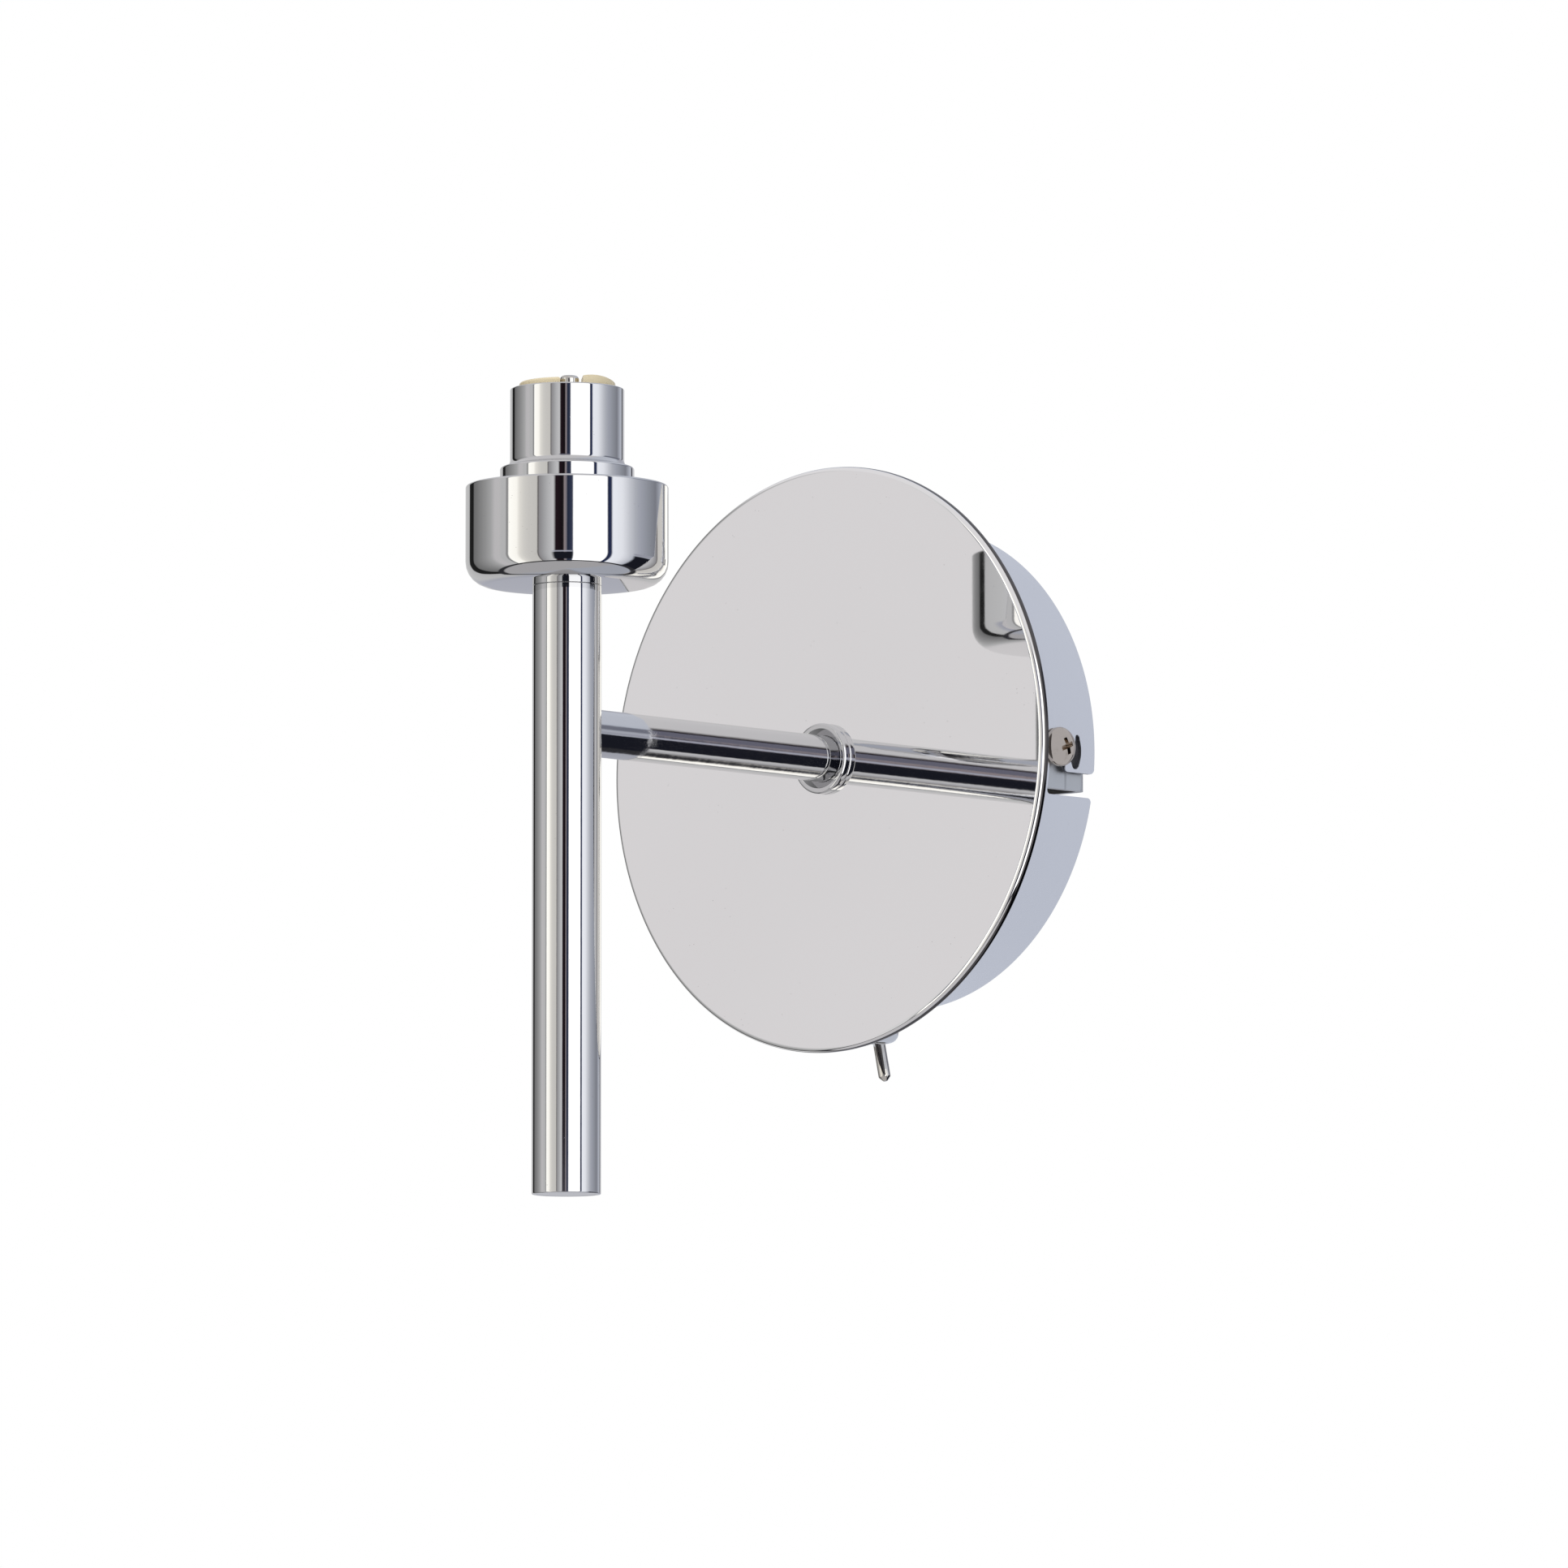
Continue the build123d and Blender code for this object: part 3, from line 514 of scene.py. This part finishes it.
def armTube():
    size = {"wall": 0.75 * mm, "reach": 4.6 * mm}
    high = span("arm_tube", "y")[1]
    out = radiusOf("arm_tube", "x")
    bore = out - size["wall"]
    end = postAt.y + size["reach"]           # hidden inside the post's wall
    profile = [(bore, -high, 0), (out, -high, 0.15 * mm), (out, -end, 0), (bore, -end, 0)]
    finish = chromePlate("armChrome", {
        **plainShade, "wave": 0.016, "waveScale": 260.0, "grain": 0.006,
        "grainScale": 1500.0, "grainStretch": (1, 0.08, 1), "rough": 0.045, "smear": 0.05})
    piece = turned("armTube", profile, finish, 96, "y")
    return settle(piece, "arm", "arm_tube")


def postTube():
    size = {"wall": 1.0 * mm}
    low, high = span("post_tube", "z")
    out = radiusOf("post_tube", "x")
    bore = out - size["wall"]
    profile = [(bore, low, 0.06 * mm), (out, low, 0.25 * mm), (out, high, 0.15 * mm),
               (bore, high, 0)]
    finish = chromePlate("postChrome", {
        **plainShade, "wave": 0.003, "grain": 0.0012, "grainStretch": (1, 1, 0.2)})
    piece = turned("postTube", profile, finish, 128, "z", postAt)
    return settle(piece, "arm", "post_tube")


def postPlug():
    size = {"inset": 0.02 * mm, "hollow": 4.4 * mm, "floor": 1.5 * mm}
    low, high = span("post_plug", "z")
    out = radiusOf("post_plug", "x")
    face = low + size["inset"]
    floor = low + size["floor"]
    profile = [(0, face, 0), (out, face, 0.12 * mm), (out, high, 0.1 * mm),
               (size["hollow"], high, 0), (size["hollow"], floor, 0), (0, floor, 0)]
    piece = turned("postPlug", profile, looks["chrome_polish"], 96, "z", postAt)
    return settle(piece, "arm", "post_plug")


print("arm:", armTube().name, postTube().name, postPlug().name)


def headCup():
    size = {"wall": 1.2 * mm, "foot": 4.75 * mm, "insideFoot": 3.55 * mm, "rim": 0.5 * mm,
            "hole": 5.1 * mm}
    low, high = span("head_cup", "z")
    out = radiusOf("head_cup", "x")
    inside = out - size["wall"]
    profile = [(size["hole"], low, 0), (out, low, size["foot"]), (out, high, size["rim"]),
               (inside, high, 0.25 * mm), (inside, low + size["wall"], size["insideFoot"]),
               (size["hole"], low + size["wall"], 0)]
    finish = chromePlate("cupChrome", {**plainShade, "wave": 0.0016, "waveScale": 90.0})
    piece = turned("headCup", profile, finish, 192, "z", postAt)
    return settle(piece, "arm", "head_cup")


def socketHousing():
    size = {"wall": 1.0 * mm, "neck": 1.4 * mm, "edge": 0.5 * mm, "top": 0.3 * mm,
            "sleeve": 11.4 * mm, "step": 52.6 * mm, "deck": 1.2 * mm}
    low, high = span("socket_housing", "z")
    skirt = radiusOf("socket_housing", "x")
    wall = size["wall"]
    profile = [(skirt - wall, low, 0), (skirt, low, 0.1 * mm), (skirt, size["step"], size["edge"]),
               (size["sleeve"], size["step"], size["neck"]), (size["sleeve"], high, size["top"]),
               (size["sleeve"] - wall, high, 0.15 * mm),
               (size["sleeve"] - wall, size["step"] - size["deck"], 0),
               (skirt - wall, size["step"] - size["deck"], 0)]
    finish = chromePlate("holderChrome", {**plainShade, "wave": 0.0016, "waveScale": 130.0})
    piece = turned("socketHousing", profile, finish, 144, "z", postAt)
    return settle(piece, "arm", "socket_housing")


print("head:", headCup().name, socketHousing().name)


def crossCutters(length, width, depth, top, angle, finish):
    # Two tapered blades, as a cross-head driver leaves.
    for turnBy in (angle, angle + pi / 2):
        steel = bmesh.new()
        bmesh.ops.create_cube(steel, size=1.0)
        bmesh.ops.scale(steel, vec=(length, width, depth * 2), verts=steel.verts)
        deep = [v for v in steel.verts if v.co.z < 0]
        bmesh.ops.scale(steel, vec=(0.45, 0.7, 1), verts=deep)
        bmesh.ops.rotate(steel, cent=(0, 0, 0), matrix=Matrix.Rotation(turnBy, 3, "Z"),
                         verts=steel.verts)
        bmesh.ops.translate(steel, vec=(0, 0, top), verts=steel.verts)
        yield pieceFrom(steel, "crossCutter", finish)


def canopyScrews():
    size = {"cross": 5.0 * mm, "blade": 1.15 * mm, "deep": 1.7 * mm,
            "headHeight": 2.6 * mm, "rimWall": 0.55 * mm, "shankLength": 9.0 * mm,
            "shank": 1.98 * mm, "pitch": 0.7 * mm, "root": 0.35 * mm, "turns": 11, "angle": 22}
    high = span("canopy_screws", "x")[1]
    head = radiusOf("canopy_screws", "z")
    seat = high - size["headHeight"]
    tip = seat - size["shankLength"]
    finish = nickelPlate("screwNickel", (0.62, 0.54, 0.46))
    threads = []
    for i in range(size["turns"]):           # crest and root of each thread
        top = tip + 0.5 * mm + i * size["pitch"]
        threads += [(size["shank"] - size["root"], top, 0),
                    (size["shank"], top + size["pitch"] / 2, 0)]
    rim = seat + size["rimWall"]
    dome = [(head * sin(radians(a)), rim + (high - rim) * cos(radians(a)), 0)
            for a in range(0, 91, 6)]
    profile = dome + [(head, seat, 0.1 * mm), (size["shank"], seat, 0)] + threads[::-1]
    profile += [(size["shank"] - 0.5 * mm, tip, 0), (0, tip, 0)]
    both = bmesh.new()
    for side in (1, -1):
        steel = bmesh.new()
        turn(steel, profile, 64, closed=False)
        piece = pieceFrom(steel, "screwBlank", finish)
        carve(piece, crossCutters(size["cross"], size["blade"], size["deep"], high,
                                  radians(size["angle"]), finish))
        facing = Matrix.Rotation(pi, 4, "Y") if side < 0 else Matrix.Identity(4)
        moved = Matrix.Translation((0, middle("canopy_screws", "y"), 0))
        piece.data.transform(facing @ moved @ axisTurns["x"])
        both.from_mesh(piece.data)
        bpy.data.objects.remove(piece)
    screws = evenShading(pieceFrom(both, "canopyScrews", finish))
    return settle(screws, "wall_plate", "canopy_screws")


def dressNut():
    size = {"dome": 2.1 * mm, "bore": 3.02 * mm, "mouth": 2.35 * mm, "lip": 1.0 * mm}
    low, high = span("toggle_dress_nut", "z")
    out = radiusOf("toggle_dress_nut", "x")
    top = high - 0.05 * mm
    profile = [(size["mouth"], low, 0.2 * mm), (out, low, size["dome"]), (out, top, 0),
               (size["bore"], top, 0), (size["bore"], low + size["lip"], 0),
               (size["mouth"], low + size["lip"], 0)]
    finish = chromePlate("nutChrome", {**plainShade, "wave": 0.002})
    piece = turned("toggleDressNut", profile, finish, 96, "z", toggleAt)
    return settle(piece, "canopy", "toggle_dress_nut")


def toggleLever():
    lever = {"radius": 1.25 * mm, "length": 11.5 * mm, "cone": 0.95 * mm, "apex": 0.42 * mm,
             "neck": 1.2 * mm, "ball": 1.95 * mm, "tail": 0.75 * mm, "tailLength": 12.0 * mm}
    joint = next(j for j in frame["joints"] if j["name"] == "toggle_throw")
    tilt = -radians(joint["range_deg"][1]) / 2          # it rests at one end of its throw
    end = -lever["length"]
    steel = bmesh.new()
    profile = [(0, end, 0), (lever["apex"], end + 0.04 * mm, 0.1 * mm),
               (lever["radius"], end + lever["cone"], 0.15 * mm),
               (lever["radius"], -lever["neck"], 0), (0, -lever["neck"], 0)]
    turn(steel, profile, 48, closed=False)
    bmesh.ops.create_uvsphere(steel, u_segments=32, v_segments=20, radius=lever["ball"])
    bmesh.ops.create_cone(steel, cap_ends=True, segments=24, radius1=lever["tail"],
                          radius2=lever["tail"], depth=lever["tailLength"],
                          matrix=Matrix.Translation((0, 0, lever["tailLength"] / 2)))
    pivot = Matrix.Translation(joint["pos_m"]) @ Matrix.Rotation(tilt, 4, "Y")
    bmesh.ops.transform(steel, matrix=pivot, verts=steel.verts)
    finish = nickelPlate("leverNickel", (0.76, 0.73, 0.68))
    piece = evenShading(pieceFrom(steel, "toggleLever", finish))
    return settle(piece, "switch_lever", "toggle_lever")


print("switch:", dressNut().name, toggleLever().name, canopyScrews().name)


def lampLead(node, name, slot):
    # It is cut into short lengths along the arm, between its held end in the canopy and its free part.
    size = {"held": -11 * mm, "free": -75 * mm, "cuts": 26}
    wire = bmesh.new()
    wire.from_mesh(nodes[node].data)
    bmesh.ops.remove_doubles(wire, verts=wire.verts, dist=0.001 * mm)
    for i in range(1, size["cuts"]):
        y = size["held"] + (size["free"] - size["held"]) * i / size["cuts"]
        bmesh.ops.bisect_plane(wire, geom=wire.verts[:] + wire.edges[:] + wire.faces[:],
                               dist=0.0001 * mm, plane_co=(0, y, 0), plane_no=(0, 1, 0))
    bmesh.ops.recalc_face_normals(wire, faces=wire.faces)
    piece = pieceFrom(wire, name, looks[slot])
    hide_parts(node)
    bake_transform(piece)
    return piece


print("leads:", lampLead("arm_live_lead", "lampLiveLead", "brown_lead").name,
      lampLead("arm_neutral_lead", "lampNeutralLead", "blue_lead").name)


def stops(table, low, high):                 # angles and levels as a colour ramp's stops
    return [((place - low) / (high - low), level if isinstance(level, tuple) else (level,) * 3)
            for place, level in table]


def studioWorld():
    # The room as the plate mirrors it: soft panels, dark gaps between them and a pale floor.
    # Azimuth 0 is in front of the lamp and grows to its right. Levels are linear light.
    left = [(-180, (0.55, 0.58, 0.66)), (-172, (0.60, 0.62, 0.68)), (-170, (0.03, 0.03, 0.04)),
            (-165, (0.03, 0.03, 0.04)), (-163, (0.72, 0.72, 0.76)), (-137, 0.66), (-103, 0.60),
            (-101, 0.02), (-90, 0.015), (-87, 0.20), (-81, 0.23), (-70, 0.31), (-61, 0.39),
            (-52, 0.50), (-46, (0.655, 0.64, 0.648)), (-39.5, (0.665, 0.65, 0.655)),
            (-36, 0.62), (-30, 0.62), (-28.2, 0.30), (-26.6, 0.40), (-25.2, (1.40, 1.38, 1.30)),
            (-15, (1.32, 1.29, 1.20)), (-11, (1.00, 0.97, 0.90)), (-5, (0.84, 0.82, 0.77)),
            (0, (0.78, 0.76, 0.72))]
    right = [(0, (0.78, 0.76, 0.72)), (10, (0.74, 0.72, 0.68)), (11.2, (0.12, 0.11, 0.11)),
             (12.6, (0.34, 0.33, 0.34)), (17, (0.44, 0.44, 0.45)), (22, (0.58, 0.58, 0.59)),
             (29, (0.72, 0.72, 0.73)), (31.5, (0.02, 0.01, 0.015)), (40, (0.01, 0.008, 0.01)),
             (41.5, (0.34, 0.29, 0.30)), (43.5, (0.24, 0.22, 0.25)), (45, (0.02, 0.03, 0.06)),
             (50.5, (0.05, 0.06, 0.11)), (52, 1.55), (90.5, 1.55), (92, (0.02, 0.03, 0.08)),
             (96, (0.03, 0.04, 0.10)), (98, (1.12, 1.15, 1.22)), (110, (1.04, 1.06, 1.12)),
             (121, (0.74, 0.76, 0.82)), (129, (0.56, 0.58, 0.64)), (137, (0.46, 0.48, 0.55)),
             (150, (0.36, 0.38, 0.43)), (165, (0.26, 0.27, 0.31)), (180, (0.55, 0.58, 0.66))]
    world = bpy.data.worlds.new("studio")
    bpy.context.scene.world = world
    world.use_nodes = True
    world.node_tree.nodes.clear()
    paint = Socket(world.node_tree)
    ray = paint.add("ShaderNodeTexCoord", out=0)
    part = {axis: ray.add("ShaderNodeSeparateXYZ", {}, {"Vector": ray}, out=i)
            for i, axis in enumerate("xyz")}
    azimuth = paint.maths("ARCTAN2", part["x"], part["y"] * -1) * (180 / pi)
    rise = paint.maths("ARCSINE", part["z"]) * (180 / pi)
    leftRoom = paint.add("ShaderNodeValToRGB", {"stops": stops(left, -180, 0)},
                         {"Fac": (azimuth + 180) / 180})
    rightRoom = paint.add("ShaderNodeValToRGB", {"stops": stops(right, 0, 180)},
                          {"Fac": azimuth / 180})
    colour = (azimuth > 0).mixColour(leftRoom, rightRoom)
    # Behind the lamp the wall is one even blue grey above and below eye level.
    behind = paint.maths("ABSOLUTE", azimuth).step(118, 132)
    level = rise.band(-3, 13, 4)
    wall = behind * (1 - level)
    side = (azimuth > 0).mixColour(rgb(0.46, 0.47, 0.53), rgb(0.60, 0.635, 0.72))
    colour = wall.mixColour(colour, side)
    # Behind to the right it is dark below eye level, pale at eye level and grey above.
    away = azimuth.band(127, 190, 3)
    colour = (away * rise.band(-46, -5, 2)).mixColour(colour, rgb(0.012, 0.013, 0.02))
    colour = (away * rise.band(-3, 3, 1.5)).mixColour(colour, rgb(0.40, 0.41, 0.48))
    colour = (away * rise.band(11, 25, 3)).mixColour(colour, rgb(0.20, 0.21, 0.26))
    # The dark card on the camera's side has one lit slit across it.
    ahead = azimuth.band(28, 51, 2.5)
    deep = ahead * rise.band(-36, -4, 2)
    slit = ahead * rise.band(-2.5, 3.0, 1.5)
    upper = ahead * rise.band(11, 25, 2)
    colour = deep.mixColour(colour, rgb(0.012, 0.013, 0.02))
    colour = upper.mixColour(colour, rgb(0.16, 0.16, 0.21))
    colour = slit.mixColour(colour, rgb(0.45, 0.46, 0.54))
    # Above the panels the room is plain. Below them is a dark skirting, then the floor.
    front = 1 - paint.maths("ABSOLUTE", azimuth).step(100, 130)
    above = rise.step(26, 36)
    skirting = rise.band(-48, -43, 1.2)
    below = 1 - rise.step(-50, -46)
    topLight = front.mixColour(rgb(0.62, 0.65, 0.73), rgb(0.70, 0.69, 0.70))
    floorLight = front.mixColour(rgb(0.46, 0.48, 0.54), rgb(0.48, 0.47, 0.48))
    colour = above.mixColour(colour, topLight)
    colour = below.mixColour(colour, floorLight)
    colour = skirting.mixColour(colour, rgb(0.035, 0.035, 0.04))
    seen = paint.add("ShaderNodeLightPath", out=0)
    colour = seen.mixColour(colour, rgb(1.0, 1.0, 1.0))
    glow = paint.add("ShaderNodeBackground", {}, {"Color": colour, "Strength": 1.0})
    paint.add("ShaderNodeOutputWorld", {}, {"Surface": glow})


def card(name, steel, colour):               # a one-sided panel that only mirrors see
    material = bpy.data.materials.new(name)
    material.use_nodes = True
    material.node_tree.nodes.clear()
    paint = Socket(material.node_tree)
    glow = paint.add("ShaderNodeEmission", {}, {"Color": colour, "Strength": 1.0})
    clear = paint.add("ShaderNodeBsdfTransparent")
    back = paint.add("ShaderNodeNewGeometry", out=6)
    oneSided = paint.add("ShaderNodeMixShader", {}, {0: back, 1: glow, 2: clear})
    paint.add("ShaderNodeOutputMaterial", {}, {"Surface": oneSided})
    panel = pieceFrom(steel, name, material)
    for way in ("camera", "diffuse", "shadow", "transmission", "volume_scatter"):
        setattr(panel, "visible_" + way, False)


def studioRing():
    # A ring of even blue grey goes round the canopy, whose side shows nothing else.
    size = {"ring": 58 * mm, "front": -24.8 * mm, "back": 30 * mm}
    ring = bmesh.new()
    bmesh.ops.create_cone(ring, cap_ends=False, segments=96, radius1=size["ring"],
                          radius2=size["ring"], depth=size["back"] - size["front"])
    bmesh.ops.reverse_faces(ring, faces=ring.faces)
    bmesh.ops.rotate(ring, cent=(0, 0, 0), matrix=Matrix.Rotation(pi / 2, 3, "X"),
                     verts=ring.verts)
    bmesh.ops.translate(ring, vec=(0, (size["back"] + size["front"]) / 2, 0), verts=ring.verts)
    card("ringCard", ring, rgb(0.60, 0.635, 0.72))


def studioFloor():
    room = {"below": 0.9, "radius": 7.0}
    material, paint, where = newFinish("paleFloor")
    mottling = where.noise(3.0, 4.0)
    colour = mottling.mixColour(rgb(0.84, 0.84, 0.84), rgb(0.88, 0.88, 0.88))
    closeFinish(material, paint, {"Base Color": colour, "Roughness": 0.8})
    steel = bmesh.new()
    bmesh.ops.create_circle(steel, cap_ends=True, segments=64, radius=room["radius"])
    bmesh.ops.translate(steel, vec=(0, 0, -room["below"]), verts=steel.verts)
    floor = pieceFrom(steel, "floor", material)
    floor.visible_glossy = False


def studioLight():
    panel = {"power": 18.0, "size": 1.6, "at": (0.9, -1.6, 1.7)}
    light = bpy.data.lights.new("softPanel", "AREA")
    light.energy = panel["power"]
    light.size = panel["size"]
    lamp = bpy.data.objects.new("softPanel", light)
    lamp.location = panel["at"]
    aim = Vector((0, -0.06, 0)) - Vector(panel["at"])
    lamp.rotation_euler = aim.to_track_quat("-Z", "Y").to_euler()
    lamp.visible_glossy = False
    bpy.context.scene.collection.objects.link(lamp)


def camera():
    # Aimed from the right, a little below the arm, with a long lens.
    view = {"azimuth": 42.686, "elevation": -6.067, "roll": -0.12, "distance": 2258.8 * mm,
            "lens": 251.91, "sensor": 36.0, "shiftX": -0.0831, "shiftY": -0.0095}
    a, e = radians(view["azimuth"]), radians(view["elevation"])
    back = Vector((sin(a) * cos(e), -cos(a) * cos(e), sin(e)))
    data = bpy.data.cameras.new("camera")
    data.lens = view["lens"]
    data.sensor_width = view["sensor"]
    data.shift_x = view["shiftX"]
    data.shift_y = view["shiftY"]
    data.clip_start = 0.01
    eye = bpy.data.objects.new("camera", data)
    bpy.context.scene.collection.objects.link(eye)
    aim = (-back).to_track_quat("-Z", "Y").to_matrix().to_4x4()
    eye.matrix_world = (Matrix.Translation(back * view["distance"]) @ aim
                        @ Matrix.Rotation(radians(view["roll"]), 4, "Z"))
    bpy.context.scene.camera = eye
    bpy.context.scene.view_settings.view_transform = "Standard"


studioWorld()
studioRing()
studioFloor()
studioLight()
camera()
print("studio ready")
